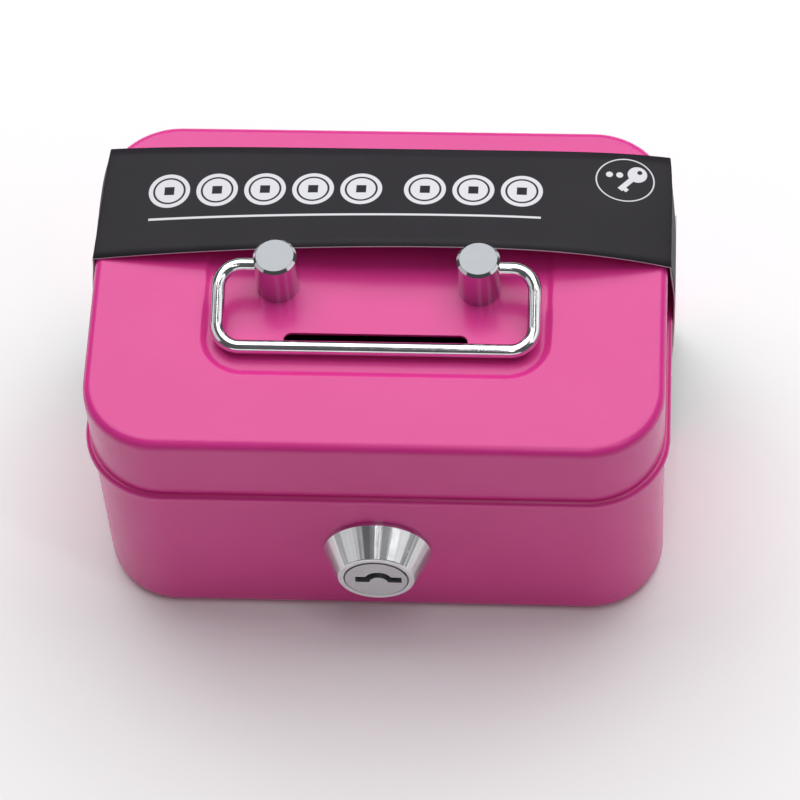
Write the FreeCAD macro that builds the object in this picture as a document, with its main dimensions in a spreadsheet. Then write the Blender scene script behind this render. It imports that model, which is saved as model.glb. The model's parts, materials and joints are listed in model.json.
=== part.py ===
"""Small steel cash box with a coin tray, a cam lock, a folding wire handle and a card sleeve.

Frame: X to the right, Y to the back, Z up. The origin is on the table under the middle of
the box. The lid is closed, the lock is unlocked and the handle lies folded forward.
"""
import FreeCAD, Part
import os
import re
import Sketcher

SIZES = {
    # box body, pressed steel sheet
    "rim_width": 125.0, "rim_depth": 85.0, "rim_radius": 17.7, "rim_height": 2.5,
    "flare": 1.2, "wall": 0.7, "underside": 0.5, "rim_bottom": 45.0, "lid_top": 66.3,
    "base_fold": 2.65, "lid_fold": 2.2, "shoulder": 46.5, "shoulder_slope": 1.0,
    "lip_inset": 1.2, "lip_top": 50.5, "lip_bore": 40.0, "cavity_top": 45.4,
    "rim_soft": 1.1, "through": 5.0, "over": 1.0, "seat_gap": 0.02,
    # shallow panel pressed into the lid, with the coin slot
    "panel_width": 74.4, "panel_depth": 46.2, "panel_radius": 9.5, "panel_sink": 0.8,
    "panel_slope": 58.0, "panel_soft": 1.2, "slot_length": 39.0, "slot_width": 3.6,
    "slot_y": -13.8, "slot_round": 1.7,
    # handle posts and wire handle
    "post_x": 21.5, "post_radius": 4.6, "post_height": 11.3, "post_chamfer": 0.6,
    "screw_radius": 1.9, "screw_head": 3.6, "screw_crown": 2.8, "screw_rise": 2.2,
    "screw_fit": 0.05, "screw_play": 0.15, "washer_radius": 4.4, "washer_thick": 0.8,
    "washer_play": 0.1, "thread_depth": 6.0, "post_bore": 5.0,
    "wire_radius": 1.5, "pivot_z": 73.1, "pivot_depth": 3.0, "pivot_bore": 3.4,
    "wire_fit": 0.06, "bail_half": 33.5, "bail_reach": 17.95, "bail_bend": 5.0,
    "bail_droop": 17.8,
    # hinges
    "hinge_x": 33.0, "hinge_y": 45.2, "hinge_z": 45.0, "knuckle_radius": 2.2,
    "pin_radius": 1.2, "pin_fit": 0.05, "hinge_width": 26.0, "lid_knuckle": 8.4,
    "knuckle_gap": 0.3, "leaf_thick": 0.8, "leaf_gap": 0.05, "base_leaf_bottom": 29.0,
    "base_leaf_top": 40.5, "lid_leaf_bottom": 50.0, "lid_leaf_top": 60.5,
    "pin_length": 27.0, "rivet_x": 8.5, "base_rivet_z": 33.0, "lid_rivet_z": 55.5,
    "rivet_radius": 1.2, "rivet_fit": 0.05, "rivet_head": 2.3, "rivet_crown": 1.3,
    "rivet_rise": 1.0, "rivet_tail": 1.9, "tail_rise": 0.6, "stop_width": 18.0,
    "stop_back": 50.0, "stop_top": 47.75, "stop_shelf": 39.0, "stop_thick": 1.0,
    # lock
    "lock_z": 25.5, "collar_radius": 11.6, "collar_land": 0.8, "collar_depth": 7.4,
    "collar_gap": 0.05, "nose_radius": 8.2, "nose_round": 0.5,
    "barrel_radius": 8.9, "barrel_fit": 0.1, "barrel_end": -25.4,
    "flat_half": 7.9, "flat_start": 37.35, "flat_run": 20.0,
    "plug_radius": 7.0, "plug_core": 6.0, "plug_step": -45.45, "bore_step": -45.35,
    "plug_fit": 0.06, "plug_proud": 0.15, "face_radius": 6.72, "face_depth": 1.4,
    "keyway_depth": 17.5, "keyway_half": 5.0, "keyway_edge": 1.1, "keyway_x": 0.5,
    "boss_radius": 2.0, "vault_z": 0.11, "vault_radius": 2.94,
    "nut_flats": 22.0, "nut_thick": 2.5, "nut_fit": 0.05,
    "tail_start": -25.05, "tail_end": -23.5, "screw_bore": 5.5,
    "wafer_first": -43.6, "wafer_pitch": 2.9, "wafer_thick": 0.6, "wafer_high": 6.6,
    "wafer_fit": 0.06, "wafer_window": 8.0, "wafer_gap": 4.0,
    "spring_x": 1.3, "spring_z": 4.4, "spring_radius": 0.5, "spring_wire": 0.12,
    "spring_pitch": 0.384, "spring_length": 2.2, "spring_play": 0.15, "spring_bore": 6.0,
    "cam_front": -25.0, "cam_thick": 1.6, "hub_radius": 8.0, "cam_reach": 26.0,
    "finger_width": 4.5, "finger_sweep": 24.0, "arm_length": 25.0, "arm_width": 7.0,
    "tail_square": 5.6, "tail_fit": 0.05, "cam_screw": 1.5, "cam_screw_length": 5.5,
    "cam_screw_head": 3.2, "cam_screw_crown": 2.4, "cam_screw_rise": 1.2,
    "cam_washer": 5.0, "cam_washer_thick": 0.7,
    "keeper_x": -6.5, "keeper_thick": 1.0, "keeper_back": -21.5, "keeper_bottom": 43.0,
    "keeper_top": 61.0, "keeper_step": 52.0, "keeper_leg": -31.0, "keeper_flange": 16.0,
    "window_side": 0.8, "window_bottom": 44.8, "window_top": 51.4,
    # coin tray on its two ledges
    "tray_width": 113.0, "tray_depth": 72.6, "tray_radius": 12.0, "tray_bottom": 17.0,
    "tray_top": 38.8, "tray_wall": 1.5, "flange_width": 117.2, "flange_depth": 76.8,
    "flange_radius": 14.0, "notch_half": 28.0, "notch_back": -19.0, "divider_y": 7.6,
    "well_radius": 5.0, "well_scoop": 3.0,
    "ledge_top": 36.95, "ledge_reach": 3.5, "ledge_leg": 10.0, "ledge_length": 44.0,
    # keys
    "bow_radius": 8.5, "key_thick": 1.8, "blade_length": 21.0, "blade_half": 2.7,
    "blade_root": 5.5, "blade_lift": 0.18, "blade_thick": 1.44, "blade_tip": 1.6,
    "key_x": 14.0, "lower_key_y": 21.0, "upper_key_y": 19.0, "key_turn": 168.0,
    "key_hole": 2.4, "key_hole_x": -4.7, "cut_first": 12.5, "cut_pitch": 3.6,
    "cut_slope": 0.8, "cut_floor": 1.0, "cut_edge": 3.2,
    "first_cut": 1.1, "second_cut": 0.55, "third_cut": 1.0, "fourth_cut": 0.65,
    # card sleeve, slit level with the lid's rim
    "card": 0.45, "sleeve_front": 5.4, "sleeve_back": 34.2, "arch_front": 6.4,
    "arch_back": 1.5, "arch_peak": 8.0, "arch_power": 2.2, "arch_gap": 0.1,
    "fold_inset": 1.2, "fold_drop": 5.0, "under_fold": 2.2, "sleeve_split": 44.9,
    "sleeve_gap": 0.5, "sleeve_half": 62.62,
}

doc = FreeCAD.newDocument("cash_box")
sheet = doc.addObject("Spreadsheet::Sheet", "sizes")
for row, (alias, number) in enumerate(SIZES.items(), 1):
    sheet.set(f"A{row}", alias)
    sheet.set(f"B{row}", str(number))
    sheet.setAlias(f"B{row}", alias)
doc.recompute()

NODES = []
NEAR = 0.01


def bound(text):
    """An expression with each size's name pointed at its cell."""
    return re.sub(r"[a-z_]+", lambda word: f"sizes.{word[0]}" if word[0] in SIZES else word[0], text)


def number(text):
    """The value that an expression has now."""
    return float(sheet.evalExpression(bound(text)))


def bind(item, **properties):
    """Bind properties of an object to expressions; a double underscore stands for a dot."""
    for name, text in properties.items():
        item.setExpression(name.replace("__", "."), bound(text))


def node(item, label):
    """Name a finished sub-part and keep it for the export."""
    item.Label = label
    NODES.append(item)
    return item


# ---- PartDesign helpers -------------------------------------------------------------------

def new_body(label):
    return node(doc.addObject("PartDesign::Body", label), label)


def new_sketch(body, role, offset="0"):
    """A sketch on one of the body's own origin planes, moved along the plane's normal."""
    sketch = body.newObject("Sketcher::SketchObject", "sketch")
    plane = next(item for item in body.Origin.OriginFeatures if item.Role == role)
    sketch.AttachmentSupport = [(plane, "")]
    sketch.MapMode = "FlatFace"
    bind(sketch, AttachmentOffset__Base__z=offset)
    return sketch


def constrain(sketch, text, *constraint):
    """A driving dimension of a sketch, bound to an expression."""
    index = sketch.addConstraint(Sketcher.Constraint(*constraint, number(text)))
    sketch.setExpression(f"Constraints[{index}]", bound(text))


def pin_point(sketch, line, end, x=None, y=None):
    """Hold one end of a line at a distance from the sketch's origin."""
    for kind, text in (("DistanceX", x), ("DistanceY", y)):
        if text is not None:
            constrain(sketch, text, kind, -1, 1, line, end)


def polygon(sketch, corners):
    """Closed outline with straight sides; each corner is a pair of expressions."""
    points = [FreeCAD.Vector(number(x), number(y), 0) for x, y in corners]
    lines = [
        sketch.addGeometry(Part.LineSegment(point, points[(i + 1) % len(points)]))
        for i, point in enumerate(points)
    ]
    for i, line in enumerate(lines):
        sketch.addConstraint(
            Sketcher.Constraint("Coincident", line, 2, lines[(i + 1) % len(lines)], 1)
        )
    for line, (x, y) in zip(lines, corners):
        pin_point(sketch, line, 1, x, y)


def rectangle(sketch, left, right, bottom, top):
    polygon(sketch, [(left, bottom), (right, bottom), (right, top), (left, top)])


def circle(sketch, x, y, radius):
    centre = FreeCAD.Vector(number(x), number(y), 0)
    ring = sketch.addGeometry(Part.Circle(centre, FreeCAD.Vector(0, 0, 1), number(radius)))
    pin_point(sketch, ring, 3, x, y)
    constrain(sketch, radius, "Radius", ring)


def rounded_run(sketch, corners, radius, closed=True):
    """Run of level and upright lines through the corners, with an arc at each turn."""
    points = [FreeCAD.Vector(number(x), number(y), 0) for x, y in corners]
    bend = number(radius)
    count = len(points)
    legs = []
    for i in range(count if closed else count - 1):
        start, finish = points[i], points[(i + 1) % count]
        along = (finish - start).normalize()
        first = start + along * bend if closed or i > 0 else start
        last = finish - along * bend if closed or i < count - 2 else finish
        legs.append((sketch.addGeometry(Part.LineSegment(first, last)), along, first, last))
    for i, (line, along, first, last) in enumerate(legs):
        level = abs(along.x) > 0.5
        sketch.addConstraint(Sketcher.Constraint("Horizontal" if level else "Vertical", line))
        x, y = corners[i]
        pin_point(sketch, line, 1, None if level else x, y if level else None)
        if not closed and i == 0:
            pin_point(sketch, line, 1, x)
        if not closed and i == len(legs) - 1:
            pin_point(sketch, line, 2, corners[-1][0])
            break
        after, turn, second, _ = legs[(i + 1) % len(legs)]
        centre = last + turn * bend
        middle = centre + (along - turn) * (bend * 0.5**0.5)
        arc = sketch.addGeometry(Part.Arc(last, middle, second))
        ends = (1, 2) if along.cross(turn).z > 0 else (2, 1)
        sketch.addConstraint(Sketcher.Constraint("Tangent", line, 2, arc, ends[0]))
        sketch.addConstraint(Sketcher.Constraint("Tangent", arc, ends[1], after, 1))
        constrain(sketch, radius, "Radius", arc)


def rounded_box(sketch, width, depth, radius, y="0"):
    """Rounded rectangle centred on the sketch's upright axis."""
    left, right = f"-({width})/2", f"({width})/2"
    front, back = f"{y}-({depth})/2", f"{y}+({depth})/2"
    rounded_run(sketch, [(left, front), (right, front), (right, back), (left, back)], radius)


def feature(body, kind, sketch, length, reversed_=False, midplane=False):
    item = body.newObject(f"PartDesign::{kind}", kind.lower())
    item.Profile = sketch
    item.Reversed = reversed_
    item.Midplane = midplane
    bind(item, Length=length)
    sketch.Visibility = False
    return item


def pad(body, sketch, length, **options):
    return feature(body, "Pad", sketch, length, **options)


def pocket(body, sketch, length, **options):
    """Cut along the sketch's normal, and make sure that something was cut."""
    doc.recompute()
    before = body.Shape.Volume
    item = feature(body, "Pocket", sketch, length, **options)
    doc.recompute()
    if item.Shape.Volume > before - 1e-6:
        raise RuntimeError(f"{body.Label}: a pocket cut nothing")
    return item


def revolve(body, sketch):
    """Full turn about the sketch's own level axis."""
    item = body.newObject("PartDesign::Revolution", "revolution")
    item.Profile = sketch
    item.ReferenceAxis = (sketch, ["H_Axis"])
    item.Angle = 360.0
    return item


def dress(body, kind, size, wanted):
    """Fillet or chamfer every edge of the body whose bounding box passes the test."""
    doc.recompute()
    base = body.Tip
    names = [f"Edge{i}" for i, edge in enumerate(base.Shape.Edges, 1) if wanted(edge.BoundBox)]
    item = body.newObject(f"PartDesign::{kind}", kind.lower())
    item.Base = (base, names)
    if kind == "Fillet":
        bind(item, Radius=size)
    else:
        bind(item, Size=size)
    return item


def level_at(text):
    """Test for level edges at a height."""
    height = number(text)
    return lambda edge: abs(edge.ZMin - height) < NEAR and abs(edge.ZMax - height) < NEAR


# ---- Part helpers -------------------------------------------------------------------------

def primitive(kind, **properties):
    item = doc.addObject(f"Part::{kind}", kind.lower())
    bind(item, **properties)
    return item


def place(item, x="0", y="0", z="0", axis=None, angle=0.0):
    if axis:
        item.Placement = FreeCAD.Placement(FreeCAD.Vector(), FreeCAD.Rotation(axis, angle))
    bind(item, Placement__Base__x=x, Placement__Base__y=y, Placement__Base__z=z)
    return item


def box(width, depth, height, x, y, z):
    """Block from its lower left front corner."""
    return place(primitive("Box", Length=width, Width=depth, Height=height), x, y, z)


X_AXIS = FreeCAD.Vector(1, 0, 0)
Y_AXIS = FreeCAD.Vector(0, 1, 0)


def forward_rod(radius, length, x, y, z, sweep="360"):
    """Cylinder that starts at y and runs towards the front."""
    rod = primitive("Cylinder", Radius=radius, Height=length, Angle=sweep)
    return place(rod, x, y, z, X_AXIS, 90)


def upright_rod(radius, length, x, y, z):
    return place(primitive("Cylinder", Radius=radius, Height=length), x, y, z)


def cross_rod(radius, length, x, y, z):
    """Cylinder that starts at x and runs to the right."""
    return place(primitive("Cylinder", Radius=radius, Height=length), x, y, z, Y_AXIS, 90)


def fuse(*items):
    item = doc.addObject("Part::MultiFuse", "fusion")
    item.Shapes = list(items)
    return item


def cut(base, tool):
    item = doc.addObject("Part::Cut", "cut")
    item.Base = base
    item.Tool = tool
    return item


def common(*items):
    item = doc.addObject("Part::MultiCommon", "common")
    item.Shapes = list(items)
    return item


def group(label, items):
    item = doc.addObject("Part::Compound", label)
    item.Links = list(items)
    return node(item, label)


# ---- box shells ---------------------------------------------------------------------------

WALL_W, WALL_D = "rim_width-2*flare", "rim_depth-2*flare"
WALL_R = "rim_radius-flare"
FRONT = "rim_depth/2-flare"


def inset_box(sketch, by):
    """The wall's outline, moved inwards by an expression."""
    rounded_box(sketch, f"{WALL_W}-2*({by})", f"{WALL_D}-2*({by})", f"{WALL_R}-({by})")


def rear_holes(body, height):
    """Holes for two rivets in each hinge leaf."""
    for side in ("-", ""):
        for step in ("-", "+"):
            sketch = new_sketch(body, "XZ_Plane", "-rim_depth/2")
            circle(sketch, f"{side}hinge_x{step}rivet_x", height, "rivet_radius+rivet_fit")
            pocket(body, sketch, "through", reversed_=True)


def base_shell():
    body = new_body("base_shell")
    sketch = new_sketch(body, "XY_Plane", "underside")
    inset_box(sketch, "0")
    pad(body, sketch, "shoulder-underside")
    dress(body, "Chamfer", "shoulder_slope", level_at("shoulder"))
    sketch = new_sketch(body, "XY_Plane", "shoulder-shoulder_slope")
    inset_box(sketch, "lip_inset")
    pad(body, sketch, "lip_top-shoulder+shoulder_slope")
    sketch = new_sketch(body, "XY_Plane", "lip_top")
    inset_box(sketch, "lip_inset+wall")
    pocket(body, sketch, "lip_bore")
    sketch = new_sketch(body, "XY_Plane", "cavity_top")
    inset_box(sketch, "wall")
    pocket(body, sketch, "cavity_top-underside-wall")
    dress(body, "Fillet", "base_fold-wall", level_at("underside+wall"))
    dress(body, "Fillet", "base_fold", level_at("underside"))
    sketch = new_sketch(body, "XZ_Plane", "rim_depth/2")
    circle(sketch, "0", "lock_z", "barrel_radius+barrel_fit")
    pocket(body, sketch, "through")
    rear_holes(body, "base_rivet_z")


def lid_shell():
    body = new_body("lid_shell")
    sketch = new_sketch(body, "XY_Plane", "rim_bottom")
    rounded_box(sketch, "rim_width", "rim_depth", "rim_radius")
    pad(body, sketch, "rim_height")
    dress(body, "Fillet", "rim_soft", lambda edge: edge.ZLength < NEAR)
    sketch = new_sketch(body, "XY_Plane", "rim_bottom+wall")
    inset_box(sketch, "0")
    pad(body, sketch, "lid_top-rim_bottom-wall")
    sketch = new_sketch(body, "XY_Plane", "rim_bottom")
    inset_box(sketch, "wall-flare")
    pocket(body, sketch, "rim_height-wall", reversed_=True)
    sketch = new_sketch(body, "XY_Plane", "rim_bottom")
    inset_box(sketch, "wall")
    pocket(body, sketch, "lid_top-wall-rim_bottom", reversed_=True)
    dress(body, "Fillet", "lid_fold-wall", level_at("lid_top-wall"))
    dress(body, "Fillet", "lid_fold", level_at("lid_top"))
    sketch = new_sketch(body, "XY_Plane", "lid_top-wall")
    rounded_box(sketch, "panel_width+2*wall", "panel_depth+2*wall", "panel_radius+wall")
    pad(body, sketch, "panel_sink", reversed_=True)
    sketch = new_sketch(body, "XY_Plane", "lid_top")
    rounded_box(sketch, "panel_width", "panel_depth", "panel_radius")
    bind(pocket(body, sketch, "panel_sink"), TaperAngle="-panel_slope")
    brink, foot = level_at("lid_top"), level_at("lid_top-panel_sink")
    half = number("panel_width/2") + NEAR
    dress(body, "Fillet", "panel_soft",
          lambda edge: (brink(edge) or foot(edge)) and edge.XMax < half)
    sketch = new_sketch(body, "XY_Plane", "lid_top")
    rounded_box(sketch, "slot_length", "slot_width", "slot_round", "slot_y")
    for side in ("-", ""):
        circle(sketch, f"{side}post_x", "0", "screw_radius+screw_play")
    pocket(body, sketch, "through")
    rear_holes(body, "lid_rivet_z")


# ---- handle -------------------------------------------------------------------------------

FLOOR = "lid_top-panel_sink"


def handle_post(label, side):
    """Turned post with a cross hole for the wire and a threaded hole from below."""
    body = new_body(label)
    sketch = new_sketch(body, "XY_Plane", FLOOR)
    circle(sketch, f"{side}post_x", "0", "post_radius")
    pad(body, sketch, "post_height")
    top = number(f"{FLOOR}+post_height")
    dress(body, "Chamfer", "post_chamfer", lambda edge: edge.ZMin > top - NEAR)
    sketch = new_sketch(body, "XY_Plane", FLOOR)
    circle(sketch, f"{side}post_x", "0", "screw_radius+screw_fit")
    pocket(body, sketch, "post_bore", reversed_=True)
    sketch = new_sketch(body, "YZ_Plane", f"{side}(post_x+post_radius)")
    circle(sketch, "0", "pivot_z", "wire_radius+wire_fit")
    pocket(body, sketch, "pivot_bore", reversed_=side == "-")


def post_fasteners():
    screws, washers = [], []
    top = f"{FLOOR}-wall-seat_gap"
    for side in ("-", ""):
        x = f"{side}post_x"
        ring = upright_rod("washer_radius", "washer_thick", x, "0", f"{top}-washer_thick")
        hole = upright_rod(
            "screw_radius+washer_play", "washer_thick", x, "0", f"{top}-washer_thick"
        )
        washers.append(cut(ring, hole))
        seat = f"{top}-washer_thick-seat_gap"
        shank = upright_rod("screw_radius", "thread_depth", x, "0", seat)
        head = primitive(
            "Cone", Radius1="screw_crown", Radius2="screw_head", Height="screw_rise"
        )
        screws.append(fuse(shank, place(head, x, "0", f"{seat}-screw_rise")))
    group("handle_post_screws", screws)
    group("handle_post_washers", washers)


def handle_bail():
    """Wire loop whose ends turn in to the posts; drawn level, then tipped to lie forward."""
    body = new_body("handle_bail")
    end = "post_x+post_radius-pivot_depth"
    path = new_sketch(body, "XY_Plane")
    corners = [
        (f"-({end})", "0"), ("-bail_half", "0"), ("-bail_half", "-bail_reach"),
        ("bail_half", "-bail_reach"), ("bail_half", "0"), (end, "0"),
    ]
    rounded_run(path, corners, "bail_bend", closed=False)
    profile = new_sketch(body, "YZ_Plane", f"-({end})")
    circle(profile, "0", "0", "wire_radius")
    doc.recompute()
    pipe = body.newObject("PartDesign::AdditivePipe", "pipe")
    pipe.Profile = profile
    pipe.Spine = (path, [])
    body.Placement = FreeCAD.Placement(FreeCAD.Vector(), FreeCAD.Rotation(X_AXIS, 0))
    bind(body, Placement__Base__z="pivot_z", Placement__Rotation__Angle="bail_droop")


# ---- hinges -------------------------------------------------------------------------------

LEAF_FACE = f"{FRONT}+leaf_gap"


def hinge_leaf(label, side, plate, arm, knuckles):
    """Flat leaf with bent arms that carry rolled knuckles about the pin."""
    body = new_body(label)
    middle = f"{side}hinge_x"
    bottom, top = plate
    sketch = new_sketch(body, "YZ_Plane", middle)
    rectangle(sketch, LEAF_FACE, f"{LEAF_FACE}+leaf_thick", bottom, top)
    pad(body, sketch, "hinge_width", midplane=True)
    for start, width in knuckles:
        sketch = new_sketch(body, "YZ_Plane", f"{middle}+({start})")
        polygon(sketch, arm)
        pad(body, sketch, width)
        sketch = new_sketch(body, "YZ_Plane", f"{middle}+({start})")
        circle(sketch, "hinge_y", "hinge_z", "knuckle_radius")
        pad(body, sketch, width)
    sketch = new_sketch(body, "YZ_Plane", f"{middle}+hinge_width")
    circle(sketch, "hinge_y", "hinge_z", "pin_radius+pin_fit")
    pocket(body, sketch, "2*hinge_width")
    return body


def rivet_holes(body, side, height):
    for step in ("-", "+"):
        sketch = new_sketch(body, "XZ_Plane", "-hinge_y")
        circle(sketch, f"{side}hinge_x{step}rivet_x", height, "rivet_radius+rivet_fit")
        pocket(body, sketch, "through", reversed_=True)


def hinges():
    """Two hinges; the arms' corners are set out from the leaf and from the pin's centre."""
    base_arm = [
        (LEAF_FACE, "base_leaf_top-3"), (f"{LEAF_FACE}+leaf_thick", "base_leaf_top-3"),
        ("hinge_y+1.1", "hinge_z-1.8"), ("hinge_y", "hinge_z"),
        ("hinge_y-1.9", "hinge_z-0.9"), (LEAF_FACE, "hinge_z-3.6"),
    ]
    lid_arm = [
        (LEAF_FACE, "lid_leaf_bottom+2"), (LEAF_FACE, "hinge_z+3.4"),
        ("rim_depth/2+0.1", "hinge_z+2.7"), ("rim_depth/2+0.1", "hinge_z+0.4"),
        ("hinge_y-1.7", "hinge_z-0.4"), ("hinge_y", "hinge_z"),
        ("hinge_y-0.2", "hinge_z+2"), (f"{LEAF_FACE}+leaf_thick", "lid_leaf_bottom+0.6"),
        (f"{LEAF_FACE}+leaf_thick", "lid_leaf_bottom+2"),
    ]
    outer = "(hinge_width-lid_knuckle)/2-knuckle_gap"
    base_knuckles = [("-hinge_width/2", outer), (f"hinge_width/2-({outer})", outer)]
    lid_knuckles = [("-lid_knuckle/2", "lid_knuckle")]
    for name, side in (("left", "-"), ("right", "")):
        leaf = hinge_leaf(
            f"hinge_base_leaf_{name}", side, ("base_leaf_bottom", "base_leaf_top"),
            base_arm, base_knuckles,
        )
        rivet_holes(leaf, side, "base_rivet_z")
        leaf = hinge_leaf(
            f"hinge_lid_leaf_{name}", side, ("lid_leaf_bottom", "lid_leaf_top"),
            lid_arm, lid_knuckles,
        )
        rivet_holes(leaf, side, "lid_rivet_z")
        pin = cross_rod(
            "pin_radius", "pin_length", f"{side}hinge_x-pin_length/2", "hinge_y", "hinge_z"
        )
        node(pin, f"hinge_pin_{name}")


def rivets(label, height):
    """Domed heads on the leaves, clenched tails inside the wall."""
    items = []
    for side in ("-", ""):
        for step in ("-", "+"):
            x = f"{side}hinge_x{step}rivet_x"
            inner, outer = f"{FRONT}-wall-seat_gap", f"{LEAF_FACE}+leaf_thick+seat_gap"
            shank = forward_rod("rivet_radius", f"{outer}-({inner})", x, outer, height)
            tail = forward_rod("rivet_tail", "tail_rise", x, inner, height)
            head = primitive(
                "Cone", Radius1="rivet_crown", Radius2="rivet_head", Height="rivet_rise"
            )
            place(head, x, f"{outer}+rivet_rise", height, X_AXIS, 90)
            items.append(fuse(shank, tail, head))
    group(label, items)


def lid_stop():
    """Bent strip behind the base that holds the open lid just past upright."""
    body = new_body("lid_stop")
    sketch = new_sketch(body, "YZ_Plane")
    shelf, back = "stop_shelf", "stop_back-stop_thick"
    polygon(sketch, [
        (LEAF_FACE, "base_leaf_bottom"), (f"{LEAF_FACE}+stop_thick", "base_leaf_bottom"),
        (f"{LEAF_FACE}+stop_thick", f"{shelf}-stop_thick"),
        ("stop_back", f"{shelf}-stop_thick"), ("stop_back", "stop_top"),
        (back, "stop_top"), (back, shelf), (LEAF_FACE, shelf),
    ])
    pad(body, sketch, "stop_width", midplane=True)


# ---- lock ---------------------------------------------------------------------------------

COLLAR_BACK = f"-({FRONT})-collar_gap"
COLLAR_FACE = f"-({FRONT})-collar_depth"


def turned(label, profile):
    """Revolved piece about the lock's axis."""
    body = new_body(label)
    sketch = new_sketch(body, "YZ_Plane")
    polygon(sketch, profile)
    revolve(body, sketch)
    bind(body, Placement__Base__z="lock_z")
    return body


def lock_housing():
    body = turned("lock_housing", [
        (COLLAR_BACK, "barrel_radius"), (COLLAR_BACK, "collar_radius"),
        (f"{COLLAR_BACK}-collar_land", "collar_radius"), (COLLAR_FACE, "nose_radius"),
        (COLLAR_FACE, "plug_radius+plug_fit"), ("bore_step", "plug_radius+plug_fit"),
        ("bore_step", "plug_core+plug_fit"), ("barrel_end", "plug_core+plug_fit"),
        ("barrel_end", "barrel_radius"),
    ])
    nose = number(COLLAR_FACE)
    reach = number("nose_radius+plug_radius")
    dress(body, "Fillet", "nose_round",
          lambda edge: abs(edge.YMax - nose) < NEAR and edge.XLength > reach)
    sketch = new_sketch(body, "XZ_Plane", "flat_start")
    rectangle(sketch, "flat_half", "collar_radius", "-barrel_radius", "barrel_radius")
    rectangle(sketch, "-collar_radius", "-flat_half", "-barrel_radius", "barrel_radius")
    pocket(body, sketch, "flat_run")


def lock_nut():
    body = new_body("lock_nut")
    sketch = new_sketch(body, "XZ_Plane", f"{FRONT}-wall-nut_thick-seat_gap")
    half, point = "nut_flats/2", "nut_flats/2*tan(30)"
    tip = "nut_flats/2/cos(30)"
    polygon(sketch, [
        (half, f"-({point})"), (half, point), ("0", tip),
        (f"-({half})", point), (f"-({half})", f"-({point})"), ("0", f"-({tip})"),
    ])
    circle(sketch, "0", "0", "barrel_radius+nut_fit")
    pad(body, sketch, "nut_thick")
    bind(body, Placement__Base__z="lock_z")


WAFERS = 5


def wafer_y(i):
    return f"wafer_first+{i}*wafer_pitch"


def keyway():
    """Level slot that vaults over a round boss standing on its lower edge."""
    boss = [(f"keyway_x+boss_radius*cos({a})", f"boss_radius*sin({a})-keyway_edge")
            for a in range(180, -1, -30)]
    spring = 20
    vault = [(f"keyway_x+vault_radius*cos({a})", f"vault_radius*sin({a})+vault_z")
             for a in range(spring, 181 - spring, 20)]
    left, right = "keyway_x-keyway_half", "keyway_x+keyway_half"
    return [
        (left, "-keyway_edge"), *boss, (right, "-keyway_edge"),
        (right, "keyway_edge"), *vault, (left, "keyway_edge"),
    ]


def lock_plug():
    """Plug with the keyway, the wafer slots, the spring bores and a square tail."""
    face = f"{COLLAR_FACE}-plug_proud"
    body = turned("lock_plug", [
        (face, "0"), (face, "face_radius"), (f"{COLLAR_FACE}+face_depth", "face_radius"),
        (f"{COLLAR_FACE}+face_depth", "plug_radius"), ("plug_step", "plug_radius"),
        ("plug_step", "plug_core"), ("tail_start", "plug_core"), ("tail_start", "0"),
    ])
    sketch = new_sketch(body, "XZ_Plane", "-tail_start")
    rectangle(sketch, "-tail_square/2", "tail_square/2", "-tail_square/2", "tail_square/2")
    pad(body, sketch, "tail_end-tail_start", reversed_=True)
    sketch = new_sketch(body, "XZ_Plane", "-tail_end")
    circle(sketch, "0", "0", "cam_screw+screw_fit")
    pocket(body, sketch, "screw_bore", reversed_=True)
    sketch = new_sketch(body, "XZ_Plane", f"-({face})")
    polygon(sketch, keyway())
    pocket(body, sketch, "keyway_depth")
    for i in range(WAFERS):
        sketch = new_sketch(body, "YZ_Plane", "-plug_radius")
        half = "wafer_thick/2+wafer_fit"
        side = "wafer_high/2+wafer_fit"
        rectangle(
            sketch, f"{wafer_y(i)}-({half})", f"{wafer_y(i)}+{half}", f"-({side})", side
        )
        pocket(body, sketch, "2*plug_radius", reversed_=True)
        sketch = new_sketch(body, "YZ_Plane", "plug_radius")
        circle(sketch, wafer_y(i), "spring_z", "spring_radius+spring_play")
        pocket(body, sketch, "spring_bore")


def wafers():
    """Flat wafers drawn level with the plug, as they stand with a key in."""
    items = []
    for i in range(WAFERS):
        start = f"{wafer_y(i)}-wafer_thick/2"
        plate = box(
            "2*plug_core", "wafer_thick", "wafer_high", "-plug_core", start,
            "lock_z-wafer_high/2",
        )
        disc = forward_rod(
            "plug_core-wafer_fit", "wafer_thick", "0", f"{start}+wafer_thick", "lock_z"
        )
        window = box(
            "wafer_window", "2*wafer_thick", "wafer_gap", "-wafer_window/2",
            f"{start}-wafer_thick/2", "lock_z-wafer_gap/2",
        )
        items.append(cut(common(plate, disc), window))
    group("lock_wafers", items)


def wafer_springs():
    """Small coil springs that push the wafers out, one in each bore of the plug."""
    coils = []
    radius, wire = number("spring_radius"), number("spring_wire")
    for i in range(WAFERS):
        helix = Part.makeHelix(number("spring_pitch"), number("spring_length"), radius - wire)
        ring = Part.Circle(
            FreeCAD.Vector(radius - wire, 0, 0), FreeCAD.Vector(0, 1, 0), wire
        )
        coil = Part.Wire(helix).makePipeShell([Part.Wire(ring.toShape())], True, True)
        coil.rotate(FreeCAD.Vector(), Y_AXIS, 90)
        coil.translate(FreeCAD.Vector(
            number("spring_x"), number(wafer_y(i)), number("lock_z+spring_z")
        ))
        coils.append(coil)
    item = doc.addObject("Part::Feature", "wafer_springs")
    item.Shape = Part.makeCompound(coils)
    node(item, "wafer_springs")


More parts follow.
